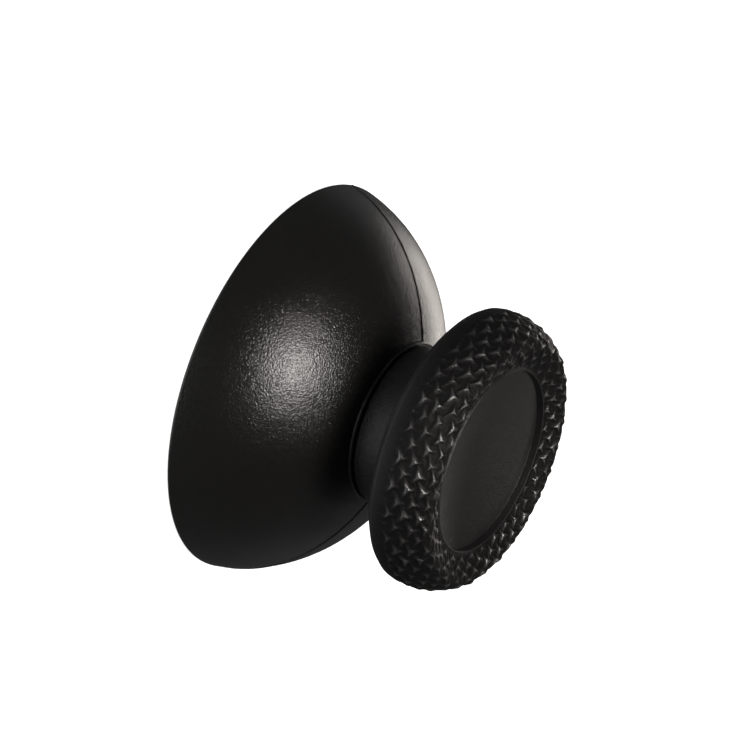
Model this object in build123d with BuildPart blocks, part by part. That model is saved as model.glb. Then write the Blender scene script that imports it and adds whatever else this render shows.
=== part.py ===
from build123d import *
from math import sqrt
import os

# Cap for the analog stick of a game controller: a hard plastic core (domed skirt, socket boss, post and
# anchor plate) and a soft rubber grip moulded over its post and plate.
# Frame: origin at the centre of the dome's open rim, +Z along the stick towards the thumb pad.
# The core's two mould halves part in the XZ plane. All lengths are in millimetres.

# Dome: half an ellipsoid whose centre lies a little below the rim
RIM_RADIUS = 12.3
DOME_HEIGHT = 8.9
DOME_CENTRE_DROP = 1.75
DOME_WALL = 1.2
RIM_EDGE_RADIUS = 0.15

# Fine ridge that the mould halves leave along the dome
PARTING_RIDGE_HEIGHT = 0.04
PARTING_RIDGE_WIDTH = 0.1

# Boss under the dome, with the keyed socket for the stick's shaft
BOSS_RADIUS = 3.1
BOSS_BOTTOM = 2.6
BOSS_EDGE_CHAMFER = 0.3
SOCKET_DIAMETER = 4.0
SOCKET_ACROSS_FLATS = 3.0
SOCKET_DEPTH = 5.4
SOCKET_LEAD_IN = 0.3

# Gussets between the boss and the dome
GUSSET_COUNT = 4
GUSSET_THICKNESS = 0.8
GUSSET_BOTTOM = 5.0

# Collar round the stem's foot, where the rubber stops
COLLAR_RADIUS = 5.1
COLLAR_TOP = 8.15
COLLAR_EDGE_RADIUS = 0.1

# Post and anchor plate inside the rubber
POST_RADIUS = 3.4
PLATE_RADIUS = 6.6
PLATE_BOTTOM = 11.9
PLATE_THICKNESS = 1.1
PLATE_EDGE_RADIUS = 0.3
ANCHOR_HOLE_COUNT = 6
ANCHOR_HOLE_RADIUS = 0.75
ANCHOR_CIRCLE_RADIUS = 5.0

# Rubber sleeve and the underside of the pad
SLEEVE_FOOT_RADIUS = 4.9
SLEEVE_WAIST_RADIUS = 4.65
SLEEVE_FOOT_CHAMFER = 0.15
UNDERSIDE_INNER_Z = 10.45
UNDERSIDE_OUTER_Z = 11.55
NECK_FILLET = 1.2
BELLY_FILLET = 1.4

# Rim of the pad, up to the tips of its knurl
PAD_RADIUS = 8.8
KNURL_START_Z = 12.85
CREST_CIRCLE_RADIUS = 7.33
CREST_Z = 15.38
CREST_ROUNDING = 0.78
CREST_START_ANGLE = 38
CREST_SWEEP = 77

# Lip where the knurl ends, and the steep step down from it to the concave floor
LIP_RADIUS = 5.72
LIP_Z = 14.71
LIP_ROUNDING = 0.08
FLOOR_RADIUS = 5.65
FLOOR_EDGE_Z = 14.36
FLOOR_CENTRE_Z = 13.7

# Half the height of the band in which a flat face is picked
PICK_SLACK = 0.01

dome_half_height = DOME_HEIGHT + DOME_CENTRE_DROP
dome_half_width = RIM_RADIUS / sqrt(1 - (DOME_CENTRE_DROP / dome_half_height) ** 2)
plate_top = PLATE_BOTTOM + PLATE_THICKNESS

os.makedirs("parts", exist_ok=True)


def dome_ellipse(grow, mode=Mode.ADD):
    """The dome's upright section, grown outwards by the given distance, in an XZ sketch."""
    with Locations((0, -DOME_CENTRE_DROP)):
        Ellipse(dome_half_width + grow, dome_half_height + grow, mode=mode)


def keep_above(z, from_radius=0.0):
    """Keep the part of an XZ sketch above a height and outside a radius, on the +X side."""
    with Locations((from_radius, z)):
        Rectangle(
            2 * RIM_RADIUS, 2 * CREST_Z, align=(Align.MIN, Align.MIN), mode=Mode.INTERSECT
        )


def flat_face_at(z):
    """The horizontal face at a height, in the part being built."""
    return faces().filter_by(Axis.Z).filter_by_position(Axis.Z, z - PICK_SLACK, z + PICK_SLACK)[0]


# Hard plastic core
with BuildPart() as dome_core:
    # Domed skirt
    with BuildSketch(Plane.XZ):
        dome_ellipse(0)
        dome_ellipse(-DOME_WALL, Mode.SUBTRACT)
        keep_above(0)
    revolve(axis=Axis.Z)
    fillet(flat_face_at(0).outer_wire().edges(), radius=RIM_EDGE_RADIUS)

    # Parting ridge, up to the collar on each side
    with BuildSketch(Plane.XZ):
        dome_ellipse(PARTING_RIDGE_HEIGHT)
        dome_ellipse(-DOME_WALL / 2, Mode.SUBTRACT)
        keep_above(RIM_EDGE_RADIUS)
        mirror(about=Plane.YZ)
    extrude(amount=PARTING_RIDGE_WIDTH / 2, both=True)

    # Boss, from inside the dome's wall down to its open end
    with BuildSketch(Plane.XY.offset(BOSS_BOTTOM)):
        Circle(BOSS_RADIUS)
    extrude(amount=COLLAR_TOP - BOSS_BOTTOM)
    chamfer(flat_face_at(BOSS_BOTTOM).edges(), length=BOSS_EDGE_CHAMFER)

    # Gussets, from the boss into the dome's wall
    gusset_planes = [
        Plane.XZ.rotated((0, 0, (turn + 0.5) * 360 / GUSSET_COUNT)) for turn in range(GUSSET_COUNT)
    ]
    with BuildSketch(*gusset_planes):
        dome_ellipse(-DOME_WALL / 2)
        keep_above(GUSSET_BOTTOM, from_radius=BOSS_RADIUS / 2)
    extrude(amount=GUSSET_THICKNESS / 2, both=True)

    # Collar, post and anchor plate
    with BuildSketch(Plane.XY.offset(COLLAR_TOP)):
        Circle(COLLAR_RADIUS)
    extrude(amount=-DOME_WALL / 2)
    fillet(flat_face_at(COLLAR_TOP).outer_wire().edges(), radius=COLLAR_EDGE_RADIUS)
    with BuildSketch(Plane.XY.offset(COLLAR_TOP)):
        Circle(POST_RADIUS)
    extrude(amount=PLATE_BOTTOM - COLLAR_TOP)
    with BuildSketch(Plane.XY.offset(PLATE_BOTTOM)):
        Circle(PLATE_RADIUS)
    extrude(amount=PLATE_THICKNESS)
    plate_edges = flat_face_at(PLATE_BOTTOM).outer_wire().edges() + flat_face_at(plate_top).edges()
    fillet(plate_edges, radius=PLATE_EDGE_RADIUS)

    # Holes that the rubber flows through
    with BuildSketch(Plane.XY.offset(plate_top)):
        with PolarLocations(ANCHOR_CIRCLE_RADIUS, ANCHOR_HOLE_COUNT):
            Circle(ANCHOR_HOLE_RADIUS)
    extrude(amount=-PLATE_THICKNESS, mode=Mode.SUBTRACT)

    # Keyed socket, open at the boss's end
    with BuildSketch(Plane.XY.offset(BOSS_BOTTOM)):
        Circle(SOCKET_DIAMETER / 2)
        Rectangle(SOCKET_DIAMETER, SOCKET_ACROSS_FLATS, mode=Mode.INTERSECT)
    extrude(amount=SOCKET_DEPTH, mode=Mode.SUBTRACT)
    chamfer(flat_face_at(BOSS_BOTTOM).inner_wires()[0].edges(), length=SOCKET_LEAD_IN)

dome_core.part.label = "dome_core"
export_step(dome_core.part, "parts/dome_core.step")

# Soft rubber grip, which takes its inside from the core
with BuildPart() as grip_overmould:
    with BuildSketch(Plane.XZ):
        with BuildLine():
            skin = FilletPolyline(
                (SLEEVE_FOOT_RADIUS, COLLAR_TOP + SLEEVE_FOOT_CHAMFER),
                (SLEEVE_WAIST_RADIUS, UNDERSIDE_INNER_Z),
                (PAD_RADIUS, UNDERSIDE_OUTER_Z),
                (PAD_RADIUS, KNURL_START_Z),
                radius=[NECK_FILLET, BELLY_FILLET],
            )
            crest = CenterArc(
                (CREST_CIRCLE_RADIUS, CREST_Z - CREST_ROUNDING),
                CREST_ROUNDING,
                CREST_START_ANGLE,
                CREST_SWEEP,
            )
            TangentArc(crest @ 0, skin @ 1, tangent=-(crest % 0))
            FilletPolyline(
                crest @ 1, (LIP_RADIUS, LIP_Z), (FLOOR_RADIUS, FLOOR_EDGE_Z), radius=LIP_ROUNDING
            )
            TangentArc((0, FLOOR_CENTRE_Z), (FLOOR_RADIUS, FLOOR_EDGE_Z), tangent=(1, 0))
            Polyline(
                (0, FLOOR_CENTRE_Z),
                (0, COLLAR_TOP),
                (SLEEVE_FOOT_RADIUS - SLEEVE_FOOT_CHAMFER, COLLAR_TOP),
                skin @ 0,
            )
        make_face()
    revolve(axis=Axis.Z)
    add(dome_core.part, mode=Mode.SUBTRACT)

grip_overmould.part.label = "grip_overmould"
export_step(grip_overmould.part, "parts/grip_overmould.step")
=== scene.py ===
"""Looks of a controller's thumbstick cap: camera, light, floor, materials and the knurled rubber grip."""

import math

import bpy
import numpy as np
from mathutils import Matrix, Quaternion, Vector


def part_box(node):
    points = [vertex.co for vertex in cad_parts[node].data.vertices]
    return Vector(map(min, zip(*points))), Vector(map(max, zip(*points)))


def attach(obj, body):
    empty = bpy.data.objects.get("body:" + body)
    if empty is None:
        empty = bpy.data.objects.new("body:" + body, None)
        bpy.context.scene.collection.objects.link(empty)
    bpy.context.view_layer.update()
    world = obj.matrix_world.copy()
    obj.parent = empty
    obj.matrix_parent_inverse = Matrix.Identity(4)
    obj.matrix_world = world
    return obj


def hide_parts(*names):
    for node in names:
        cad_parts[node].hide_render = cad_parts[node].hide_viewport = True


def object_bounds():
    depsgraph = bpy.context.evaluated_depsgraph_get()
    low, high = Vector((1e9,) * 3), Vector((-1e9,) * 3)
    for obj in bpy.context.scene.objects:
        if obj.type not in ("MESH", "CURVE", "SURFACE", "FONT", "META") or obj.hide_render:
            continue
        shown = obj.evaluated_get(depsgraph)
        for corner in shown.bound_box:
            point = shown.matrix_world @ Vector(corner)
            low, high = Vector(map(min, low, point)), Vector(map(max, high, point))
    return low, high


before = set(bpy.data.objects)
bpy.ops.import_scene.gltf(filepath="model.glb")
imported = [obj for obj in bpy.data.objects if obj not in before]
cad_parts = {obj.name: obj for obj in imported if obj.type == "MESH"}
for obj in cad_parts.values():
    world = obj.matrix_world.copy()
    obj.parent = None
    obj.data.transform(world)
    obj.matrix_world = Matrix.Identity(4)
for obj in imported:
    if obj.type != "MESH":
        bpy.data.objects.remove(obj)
cad_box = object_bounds()

MM = 0.001
CENTRE = (Vector(cad_box[0]) + Vector(cad_box[1])) / 2


def direction(azimuth, elevation):
    """Unit vector towards an azimuth and an elevation, in degrees."""
    a, e = math.radians(azimuth), math.radians(elevation)
    return Vector((math.cos(e) * math.cos(a), math.cos(e) * math.sin(a), math.sin(e)))


def aimed(thing, place, at, roll=0.0):
    """Put a camera or a light in its place, turned towards a point and rolled about its line of sight."""
    thing.location = place
    look = (at - place).to_track_quat("-Z", "Y")
    thing.rotation_euler = (look @ Quaternion((0, 0, 1), math.radians(roll))).to_euler()
    bpy.context.scene.collection.objects.link(thing)
    return thing


# ------------------------------------------------------------------ camera

# It looks down on the dome's side and is rolled, so that the stem lies across the view
CAMERA_AIM = CENTRE + Vector((-2.27, -1.03, -1.51)) * MM
CAMERA_TOWARDS = direction(-97.82, 25.86)
CAMERA_ROLL = 112.18
CAMERA_DISTANCE = 250 * MM
CAMERA_LENS = 201.6

camera = bpy.data.objects.new("camera", bpy.data.cameras.new("camera"))
camera.data.lens = CAMERA_LENS
camera.data.clip_start = 10 * MM
aimed(camera, CAMERA_AIM + CAMERA_TOWARDS * CAMERA_DISTANCE, CAMERA_AIM, CAMERA_ROLL)
bpy.context.scene.camera = camera


# ------------------------------------------------------------------- light

WHITE = (1, 1, 1)
KEY_WHITE = (1, 0.95, 0.91)
WARM_WHITE = (1, 0.93, 0.87)
CREAM_WHITE = (1, 0.97, 0.93)
COOL_WHITE = (0.93, 0.96, 1)

# A key over the front, a panel and a glow behind for the dome's far edge, and two weak fills.
# Name, direction from the cap, distance, width and height, power, colour, shape
LIGHTS = (
    ("key_light", direction(-111, 61), 0.40, (0.15, 0.15), 1.7, KEY_WHITE, "DISK"),
    ("back_panel", direction(101, 2), 0.40, (0.22, 0.15), 0.345, WARM_WHITE, "RECTANGLE"),
    ("back_glow", direction(124, -6), 0.40, (0.26, 0.20), 0.018, WHITE, "RECTANGLE"),
    ("top_fill", direction(62, 48), 0.40, (0.14, 0.14), 0.085, CREAM_WHITE, "RECTANGLE"),
    ("side_fill", direction(50, 5), 0.50, (0.36, 0.27), 0.015, COOL_WHITE, "RECTANGLE"),
)

# The room's own light, and a paler patch of it with a soft edge, in degrees from its middle
ROOM_LIGHT = 0.06
GLOW_LIGHT = 1.2
GLOW_TOWARDS = direction(-75, -50)
GLOW_OUTER, GLOW_INNER = 45, 20


def soft_box(name, towards, distance, size, power, colour, shape):
    """An area light of a given width and height, at a distance from the cap, turned towards it."""
    lamp = bpy.data.lights.new(name, "AREA")
    lamp.shape = shape
    lamp.size, lamp.size_y = size
    lamp.energy = power
    lamp.color = colour
    place = CENTRE + towards * distance
    return aimed(bpy.data.objects.new(name, lamp), place, CENTRE)


def studio():
    """A dim room with a paler patch low in front of the cap, which its stem and belly face."""
    world = bpy.data.worlds.new("studio")
    world.use_nodes = True
    tree = world.node_tree
    place = tree.nodes.new("ShaderNodeTexCoord")
    facing = tree.nodes.new("ShaderNodeVectorMath")
    facing.operation = "DOT_PRODUCT"
    facing.inputs[1].default_value = GLOW_TOWARDS
    glow = tree.nodes.new("ShaderNodeMapRange")
    glow.interpolation_type = "SMOOTHSTEP"
    outer, inner = (math.cos(math.radians(angle)) for angle in (GLOW_OUTER, GLOW_INNER))
    limits = (outer, inner, ROOM_LIGHT, GLOW_LIGHT)
    for key, number in zip(("From Min", "From Max", "To Min", "To Max"), limits):
        glow.inputs[key].default_value = number
    tree.links.new(place.outputs["Generated"], facing.inputs[0])
    tree.links.new(facing.outputs["Value"], glow.inputs["Value"])
    tree.links.new(glow.outputs["Result"], tree.nodes["Background"].inputs["Strength"])
    tree.nodes["Background"].inputs["Color"].default_value = (*WHITE, 1)
    bpy.context.scene.world = world


for light in LIGHTS:
    soft_box(*light)
studio()
bpy.context.scene.view_settings.view_transform = "Standard"


# --------------------------------------------------------------- materials

# Hard plastic: the lumps of its grain and the grain's depth, its patches, and their range of shine
PLASTIC_GRAIN = 0.09 * MM
PLASTIC_GRAIN_DEPTH = 0.027 * MM
PLASTIC_PATCHES = 4 * MM
PLASTIC_COLOURS = ((0.0045, 0.0043, 0.0042, 1), (0.0057, 0.0055, 0.0053, 1))
PLASTIC_ROUGHNESS = (0.23, 0.26)

# Soft rubber: the same, with painted shade darkening the colour of the knurl's hollows, a dull finish
# there and a shiny one on its tips
RUBBER_GRAIN = 0.12 * MM
RUBBER_GRAIN_DEPTH = 0.045 * MM
RUBBER_CLOUDS = 1.5 * MM
RUBBER_COLOURS = ((0.0048, 0.0046, 0.0047, 1), (0.0078, 0.0074, 0.0076, 1))
RUBBER_HOLLOW_SHADE_COLOUR = (0.0028, 0.0026, 0.0027, 1)
RUBBER_HOLLOW_ROUGHNESS = 0.58
RUBBER_TIP_ROUGHNESS = (0.22, 0.30)
RUBBER_SPECULAR = (0.06, 1.0)
RUBBER_IOR = 2.0

# Wear, which also carries the hollows' painted shade, goes from 0 in the hollows to 1 on the tips. Below
# the first of these the colour is darkened as painted shade, the shine begins at the second, and places
# without a knurl have the third
SHADE_END_WEAR = 0.5
SHINE_WEAR = 0.4
SMOOTH_WEAR = 0.5

# Floor paper: its fibres, their colours, and the light that it gives off
PAPER_FIBRES = 3 * MM
PAPER_COLOURS = ((0.86, 0.86, 0.86, 1), (0.90, 0.90, 0.90, 1))
PAPER_ROUGHNESS = 0.9
PAPER_LIGHT = 0.7

# The middle part of a noise, which holds nearly all its values
NOISE_SPAN = (0.3, 0.7)


class Nodes:
    """Short hand for building one material's node tree."""

    def __init__(self, name):
        self.material = bpy.data.materials.new(name)
        self.material.use_nodes = True
        self.tree = self.material.node_tree
        self.shader = self.tree.nodes["Principled BSDF"]
        self.place = self.add("ShaderNodeTexCoord").outputs["Object"]

    def add(self, kind, **inputs):
        """Add a node, and set or link its inputs by name."""
        node = self.tree.nodes.new(kind)
        for key, value in inputs.items():
            self.put(node.inputs[key], value)
        return node

    def put(self, socket, value):
        """Link an input to another node's output, or set it to a plain value."""
        if isinstance(value, bpy.types.NodeSocket):
            self.tree.links.new(value, socket)
        else:
            socket.default_value = value

    def shade(self, **inputs):
        """Set or link inputs of the surface shader, named with _ for each space."""
        for key, value in inputs.items():
            self.put(self.shader.inputs[key.replace("_", " ")], value)

    def noise(self, size, detail, roughness=0.5):
        """Noise, from 0 to 1, whose lumps are about a given size in metres."""
        node = self.add("ShaderNodeTexNoise", Vector=self.place, Scale=1 / size, Detail=detail,
                        Roughness=roughness)
        return node.outputs["Fac"]

    def remap(self, value, span, low, high):
        """Map a span of a value onto the range from low to high, clamped."""
        node = self.add("ShaderNodeMapRange", Value=value)
        for key, number in zip(("From Min", "From Max", "To Min", "To Max"), (*span, low, high)):
            self.put(node.inputs[key], number)
        return node.outputs["Result"]

    def mix(self, factor, first, second):
        """Mix two colours by a factor."""
        node = self.tree.nodes.new("ShaderNodeMix")
        node.data_type = "RGBA"
        colours = [socket for socket in node.inputs if socket.type == "RGBA"]
        self.put(node.inputs[0], factor)
        self.put(colours[0], first)
        self.put(colours[1], second)
        return next(socket for socket in node.outputs if socket.type == "RGBA")

    def bump(self, height, distance):
        """Surface direction, tilted by a height whose full range is a given distance."""
        return self.add("ShaderNodeBump", Height=height, Distance=distance).outputs["Normal"]


def hard_plastic():
    """Black moulded plastic with the fine, glittering grain of an eroded mould."""
    n = Nodes("hard_plastic")
    grain = n.noise(PLASTIC_GRAIN, detail=1, roughness=0.4)
    patches = n.noise(PLASTIC_PATCHES, detail=3)
    n.shade(
        Base_Color=n.mix(patches, *PLASTIC_COLOURS),
        Roughness=n.remap(patches, NOISE_SPAN, *PLASTIC_ROUGHNESS),
        Normal=n.bump(grain, PLASTIC_GRAIN_DEPTH),
    )
    return n.material


def soft_rubber():
    """Matte black rubber with a cloudy, grained skin, painted shade darkening the knurl's hollows, dull
    there and shinier on the rubbed tips.
    """
    n = Nodes("soft_rubber")
    attribute = n.add("ShaderNodeAttribute")
    attribute.attribute_name = "wear_and_shade"
    wear_and_shade = attribute.outputs["Fac"]
    clouds = n.noise(RUBBER_CLOUDS, detail=4, roughness=0.6)
    grain = n.noise(RUBBER_GRAIN, detail=2, roughness=0.6)
    skin = n.mix(clouds, *RUBBER_COLOURS)
    tip_roughness = n.remap(clouds, NOISE_SPAN, *RUBBER_TIP_ROUGHNESS)
    n.shade(
        # Colour darkened in the knurl's hollows: painted shade, not the rubber's own colour
        Base_Color=n.mix(n.remap(wear_and_shade, (0, SHADE_END_WEAR), 0, 1), RUBBER_HOLLOW_SHADE_COLOUR, skin),
        Roughness=n.remap(wear_and_shade, (0, 1), RUBBER_HOLLOW_ROUGHNESS, tip_roughness),
        Specular_IOR_Level=n.remap(wear_and_shade, (SHINE_WEAR, 1), *RUBBER_SPECULAR),
        IOR=RUBBER_IOR,
        Normal=n.bump(grain, RUBBER_GRAIN_DEPTH),
    )
    return n.material


def pale_floor():
    """Near white studio paper, with a little light of its own so that it reads as white."""
    n = Nodes("pale_floor")
    n.shade(
        Base_Color=n.mix(n.noise(PAPER_FIBRES, detail=3), *PAPER_COLOURS),
        Roughness=PAPER_ROUGHNESS,
        Emission_Color=(*WHITE, 1),
        Emission_Strength=PAPER_LIGHT,
    )
    return n.material


# ------------------------------------------------------------------- floor

FLOOR_HALF_WIDTH = 0.6
FLOOR_GAP = 0.01 * MM


def floor():
    """A flat floor under the rim, which the cap's surface doesn't mirror and which lets light through."""
    half, height = FLOOR_HALF_WIDTH, cad_box[0][2] - FLOOR_GAP
    corners = [(-half, -half, height), (half, -half, height), (half, half, height), (-half, half, height)]
    mesh = bpy.data.meshes.new("floor")
    mesh.from_pydata(corners, [], [(0, 1, 2, 3)])
    mesh.materials.append(pale_floor())
    piece = bpy.data.objects.new("floor", mesh)
    piece.visible_glossy = False
    piece.visible_shadow = False
    bpy.context.scene.collection.objects.link(piece)


floor()


# ------------------------------------------------------ hard plastic core

plastic = hard_plastic()
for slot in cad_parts["dome_core"].material_slots:
    slot.material = plastic


# ------------------------------------------------- sizes of rubber grip

grip_low, grip_high = (Vector(corner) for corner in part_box("grip_overmould"))
PAD_RADIUS = (grip_high.x - grip_low.x) / 2
CREST_Z = grip_high.z
FOOT_Z = grip_low.z

# Its section, as radii and heights. The dish is the pad's concave floor, a step below its lip
INSIDE_RADIUS = 3.4 * MM
FOOT_RADIUS = 4.9 * MM
FOOT_CHAMFER = 0.15 * MM
WAIST_RADIUS = 4.65 * MM
UNDERSIDE_INNER_Z = CREST_Z - 4.93 * MM
UNDERSIDE_OUTER_Z = CREST_Z - 3.83 * MM
NECK_FILLET = 1.2 * MM
BELLY_FILLET = 1.4 * MM
KNURL_START_Z = CREST_Z - 2.53 * MM
CREST_RADIUS = 7.33 * MM
CREST_ROUNDING = 0.78 * MM
CREST_ANGLES = (38, 115)
LIP_RADIUS = 5.72 * MM
LIP_Z = CREST_Z - 0.67 * MM
DISH_RADIUS = 5.65 * MM
DISH_EDGE_Z = CREST_Z - 1.02 * MM
DISH_CENTRE_Z = CREST_Z - 1.68 * MM

# Thin flash that the mould leaves standing along the lip, and the rounding of its edges
FLASH_HEIGHT = 0.09 * MM
FLASH_WIDTH = 0.09 * MM
FLASH_TOP_WIDTH = 0.05 * MM
EDGE_ROUNDING = 0.015 * MM

# Steps between points of the section, and the distance under which two points are one
HIDDEN_STEP = 1.4 * MM
COARSE_STEP = 0.35 * MM
FINE_STEP = 0.03 * MM
SAME_POINT = 0.002 * MM

# The knurl: staggered rows of low studs, the mesh's steps over each stud, and its depth
KNURL_PER_TURN = 30
KNURL_PITCH = 1.78 * MM
KNURL_ROW = 0.47 * MM
KNURL_FIRST_ROW = 0.28 * MM
KNURL_PHASE = math.radians(273.3)
KNURL_COLUMNS = 26
KNURL_STEPS = 7
KNURL_HEIGHT = 0.15 * MM

# Length over which the belly's skin sinks to the knurl's depth, and mesh rows over which the knurl fades
# out at the lip
KNURL_SINK = 1.2 * MM
KNURL_FADE = 4

# Each stud is a peak with three arms: direction (along the section, round the ring), length, flank slope
STUD_ARMS = (
    ((-0.47, -0.89), 1.0 * MM, 0.66),
    ((-0.47, 0.89), 1.0 * MM, 0.66),
    ((1.0, 0.0), 0.55 * MM, 0.7),
)
STUD_ROUNDING = 0.045 * MM

# How far studs differ: shift along and round, part of the height, twist, and rows before they repeat
STUD_SHIFT_ALONG = 0.04 * MM
STUD_SHIFT_ROUND = 0.06 * MM
STUD_HEIGHT_CHANGE = 0.15
STUD_TWIST = 0.22
STUD_CHANCE_ROWS = 64
STUD_SEED = 7

# Unevenness over the whole knurl: the size of its lumps in mesh steps, and their height
CRUMPLE_SIZE = 1.6
CRUMPLE_HEIGHT = 0.010 * MM
CRUMPLE_SEED = 3


# ----------------------------------------------- section of rubber grip

def arc(centre, radius, start, end, step):
    """Points along an arc, in degrees, about a given step apart."""
    count = max(2, round(abs(math.radians(end - start)) * radius / step))
    turns = [math.radians(start + (end - start) * i / count) for i in range(count + 1)]
    return [Vector((centre.x + radius * math.cos(t), centre.y + radius * math.sin(t))) for t in turns]


def line(a, b, step):
    """Points along a line, about a given step apart."""
    count = max(1, round((b - a).length / step))
    return [a.lerp(b, i / count) for i in range(count + 1)]


def rounded(before, corner, after, radius, step):
    """Points round a corner between two points, on an arc of a given radius."""
    back, on = (before - corner).normalized(), (after - corner).normalized()
    half = back.angle(on) / 2
    centre = corner + (back + on).normalized() * radius / math.sin(half)
    first = corner + back * radius / math.tan(half)
    last = corner + on * radius / math.tan(half)
    start = math.degrees(math.atan2(first.y - centre.y, first.x - centre.x))
    turn = math.degrees((last - centre).angle_signed(first - centre))
    return arc(centre, radius, start, start + turn, step)


def tangent_arc(start, heading, end, step):
    """Points on the arc that leaves a start in a heading and ends at a given point."""
    chord = end - start
    side = Vector((-heading.y, heading.x))
    radius = chord.length_squared / (2 * chord.dot(side))
    centre = start + side * radius
    first = math.degrees(math.atan2(start.y - centre.y, start.x - centre.x))
    turn = math.degrees((end - centre).angle_signed(start - centre))
    return arc(centre, abs(radius), first, first + turn, step)


def chain(*stretches):
    """Stretches of points joined into one line, with no point twice."""
    points = []
    for stretch in stretches:
        for point in stretch:
            if not points or (point - points[-1]).length > SAME_POINT:
                points.append(point)
    return points


def softened(points, radius):
    """A line through points, with a small rounding at each corner between its ends."""
    corners = zip(points, points[1:], points[2:])
    return chain(points[:1], *(rounded(*corner, radius, radius / 2) for corner in corners), points[-1:])


def resampled(points, step):
    """The same line with points an even step apart, and its last point kept."""
    lengths = [0.0]
    for a, b in zip(points, points[1:]):
        lengths.append(lengths[-1] + (b - a).length)
    count = max(1, round(lengths[-1] / step))
    out, place = [], 0
    for i in range(count + 1):
        want = lengths[-1] * i / count
        while place < len(points) - 2 and lengths[place + 1] < want:
            place += 1
        span = lengths[place + 1] - lengths[place]
        out.append(points[place].lerp(points[place + 1], (want - lengths[place]) / span))
    return out


def section_below():
    """From the post in the sleeve, round the foot, the neck and the belly, to where the knurl starts."""
    inside_foot = Vector((FOOT_RADIUS - FOOT_CHAMFER, FOOT_Z))
    foot = Vector((FOOT_RADIUS, FOOT_Z + FOOT_CHAMFER))
    neck = Vector((WAIST_RADIUS, UNDERSIDE_INNER_Z))
    belly = Vector((PAD_RADIUS, UNDERSIDE_OUTER_Z))
    start = Vector((PAD_RADIUS, KNURL_START_Z))
    return chain(
        line(Vector((INSIDE_RADIUS, FOOT_Z)), inside_foot, HIDDEN_STEP),
        line(inside_foot, foot, COARSE_STEP),
        rounded(foot, neck, belly, NECK_FILLET, COARSE_STEP),
        rounded(neck, belly, start, BELLY_FILLET, COARSE_STEP),
        [start],
    )


def section_above(start):
    """From where the knurl starts, as two stretches: the knurl up to the flash, then flash and dish."""
    centre = Vector((CREST_RADIUS, CREST_Z - CREST_ROUNDING))
    crest = arc(centre, CREST_ROUNDING, *CREST_ANGLES, FINE_STEP)
    lean = math.radians(CREST_ANGLES[0] - 90)
    face = tangent_arc(crest[0], Vector((math.cos(lean), math.sin(lean))), start, FINE_STEP)[::-1]

    lip = Vector((LIP_RADIUS, LIP_Z))
    uphill = (crest[-1] - lip).normalized()
    raised = Vector((-uphill.y, uphill.x)) * FLASH_HEIGHT
    flash_foot = lip + uphill * FLASH_WIDTH
    flash_top = lip + uphill * FLASH_TOP_WIDTH + raised
    flash = [flash_foot + uphill * FLASH_WIDTH, flash_foot, flash_top, lip + raised]

    dish_edge = Vector((DISH_RADIUS, DISH_EDGE_Z))
    dish = tangent_arc(Vector((0, DISH_CENTRE_Z)), Vector((1, 0)), dish_edge, COARSE_STEP)[::-1]
    step = softened([*flash, dish_edge, dish[1]], EDGE_ROUNDING)
    knurled = chain(face, crest, line(crest[-1], flash_foot, FINE_STEP))
    # The step's first two points lie on the knurl's own stretch
    return resampled(knurled, KNURL_ROW / KNURL_STEPS), chain([flash_foot], step[2:], dish[1:])


# ----------------------------------------------- surface of rubber grip

def knurl_heights(rows, turns):
    """Height of the knurl over a grid of places, in rows along the section and studs round the ring."""
    chance = np.random.RandomState(STUD_SEED).uniform(-1, 1, (4, STUD_CHANCE_ROWS, KNURL_PER_TURN))
    heights = np.zeros((len(rows), len(turns)))
    rows, turns = rows[:, None], turns[None, :]
    # Studs of the rows next to a place reach it too
    for ahead in (-1, 0, 1, 2):
        stud_row = np.floor(rows) + ahead
        stagger = (stud_row % 2) / 2
        stud_turn = np.round(turns - stagger)
        own = chance[:, stud_row.astype(int) % STUD_CHANCE_ROWS, stud_turn.astype(int) % KNURL_PER_TURN]
        x = (rows - stud_row) * KNURL_ROW + own[0] * STUD_SHIFT_ALONG
        y = (turns - stud_turn - stagger) * KNURL_PITCH + own[1] * STUD_SHIFT_ROUND
        peak = KNURL_HEIGHT * (1 - STUD_HEIGHT_CHANGE * (1 - own[2]))
        heights = np.maximum(heights, stud_height(x, y, peak, STUD_TWIST * own[3]))
    return heights


def stud_height(x, y, peak, twist):
    """Height of one twisted stud at a place along the section and round the ring from its peak."""
    arms = []
    for (ax, ay), length, slope in STUD_ARMS:
        ax, ay = ax - ay * twist, ay + ax * twist
        along, across = x * ax + y * ay, np.abs(x * ay - y * ax)
        ridge = peak * (1 - np.clip(along, 0, None) / length) + np.minimum(along, 0) * slope
        arms.append(ridge - (np.hypot(across, STUD_ROUNDING) - STUD_ROUNDING) * slope)
    return np.maximum.reduce(arms)


def crumpled(shape, size):
    """Smooth unevenness over a grid that closes on itself, with lumps of a given size in grid steps."""
    rough = np.random.RandomState(CRUMPLE_SEED).normal(size=shape)
    waves = np.fft.fftfreq(shape[0])[:, None] ** 2 + np.fft.fftfreq(shape[1])[None, :] ** 2
    smooth = np.fft.ifft2(np.fft.fft2(rough) * np.exp(-2 * (math.pi * size) ** 2 * waves)).real
    return smooth / smooth.std()


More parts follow.
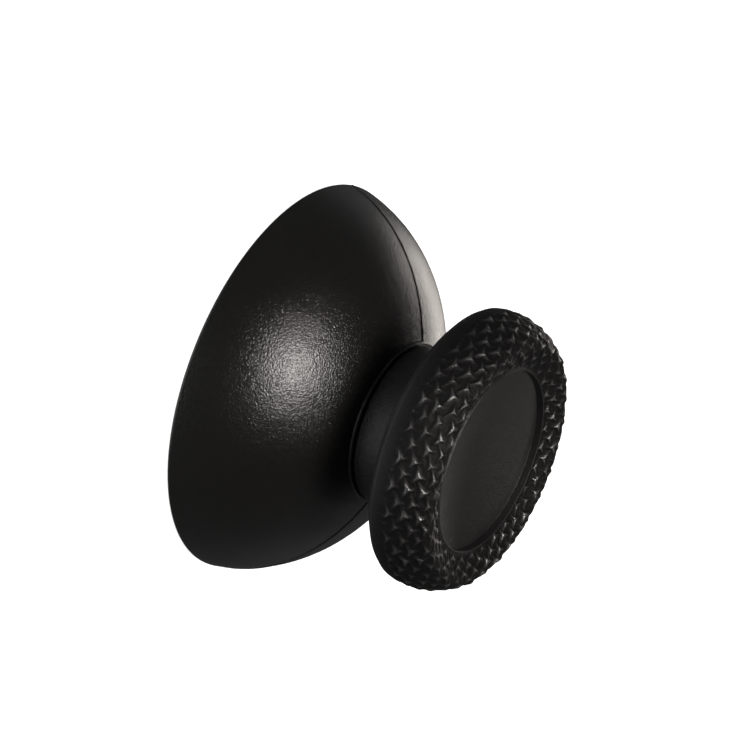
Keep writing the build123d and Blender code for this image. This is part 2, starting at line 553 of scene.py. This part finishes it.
def pressed_in(section, first, last, columns):
    """How far each place on the grip is pressed in, and how rubbed it is, which also sets its painted
    shade, over the section and the ring.
    """
    lengths = [(b - a).length for a, b in zip(section, section[1:])]
    along = np.concatenate(([0], np.cumsum(lengths)))
    along -= along[first]
    ease = np.clip(1 + along / KNURL_SINK, 0, 1)
    ease = (ease * ease * (3 - 2 * ease))[:, None]
    depths = np.repeat(KNURL_HEIGHT * ease, columns, axis=1)
    # Low values darken the rubber's colour: painted shade in the hollows and where the belly sinks into
    # the knurl
    wear_and_shade = np.repeat(SMOOTH_WEAR * (1 - ease), columns, axis=1)
    rows = (along[first:last + 1] - KNURL_FIRST_ROW) / KNURL_ROW
    heights = knurl_heights(rows, np.arange(columns) / KNURL_COLUMNS)
    uneven = crumpled(heights.shape, CRUMPLE_SIZE) * CRUMPLE_HEIGHT
    fade = np.clip((last - np.arange(first, last + 1)) / KNURL_FADE, 0, 1)[:, None]
    depths[first:last + 1] = np.maximum(KNURL_HEIGHT - heights + uneven, 0) * fade
    wear_and_shade[first:last + 1] = heights / KNURL_HEIGHT * fade + SMOOTH_WEAR * (1 - fade)
    depths[last:] = 0
    wear_and_shade[last:] = SMOOTH_WEAR
    return depths, wear_and_shade


def turned_vertices(section, depths):
    """The section turned about Z, each point pressed in below the surface by its own depth."""
    rings, columns = depths.shape
    angles = [KNURL_PHASE + 2 * math.pi * j / columns for j in range(columns)]
    vertices = []
    for i in range(rings):
        ahead, behind = section[min(i + 1, rings - 1)], section[max(i - 1, 0)]
        tangent = (ahead - behind).normalized()
        normal = Vector((tangent.y, -tangent.x))
        for angle, depth in zip(angles, depths[i]):
            at = section[i] - normal * depth
            vertices.append((at.x * math.cos(angle), at.x * math.sin(angle), at.y))
    return vertices


def turned_faces(rings, columns):
    """Faces between neighbouring rings, and fans to the two last points, in the middle of each end."""
    faces = []
    top, under = rings * columns, rings * columns + 1
    last_ring = (rings - 1) * columns
    for j in range(columns):
        k = (j + 1) % columns
        for ring in range(0, last_ring, columns):
            faces.append((ring + j, ring + k, ring + columns + k, ring + columns + j))
        faces += [(last_ring + j, last_ring + k, top), (k, j, under)]
    return faces


def grip_mesh():
    """The grip as a closed mesh, with the knurl below its outer surface and an attribute for how rubbed
    each point is, which also carries the hollows' painted shade.
    """
    below = section_below()
    knurled, inside = section_above(below[-1])
    section = below + knurled[1:] + inside[1:-1]
    columns = KNURL_PER_TURN * KNURL_COLUMNS
    depths, wear_and_shade = pressed_in(section, len(below) - 1, len(below) + len(knurled) - 2, columns)
    middles = [(0, 0, inside[-1].y), (0, 0, section[0].y)]
    mesh = bpy.data.meshes.new("rubber_grip")
    mesh.from_pydata(turned_vertices(section, depths) + middles, [], turned_faces(len(section), columns))
    mesh.shade_smooth()
    wear_and_shade_layer = mesh.attributes.new("wear_and_shade", "FLOAT", "POINT")
    wear_and_shade_layer.data.foreach_set("value", np.append(wear_and_shade.ravel(), (SMOOTH_WEAR, SMOOTH_WEAR)))
    mesh.update()
    return mesh


grip = bpy.data.objects.new("rubber_grip", grip_mesh())
grip.data.materials.append(soft_rubber())
bpy.context.scene.collection.objects.link(grip)
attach(grip, "root")
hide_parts("grip_overmould")
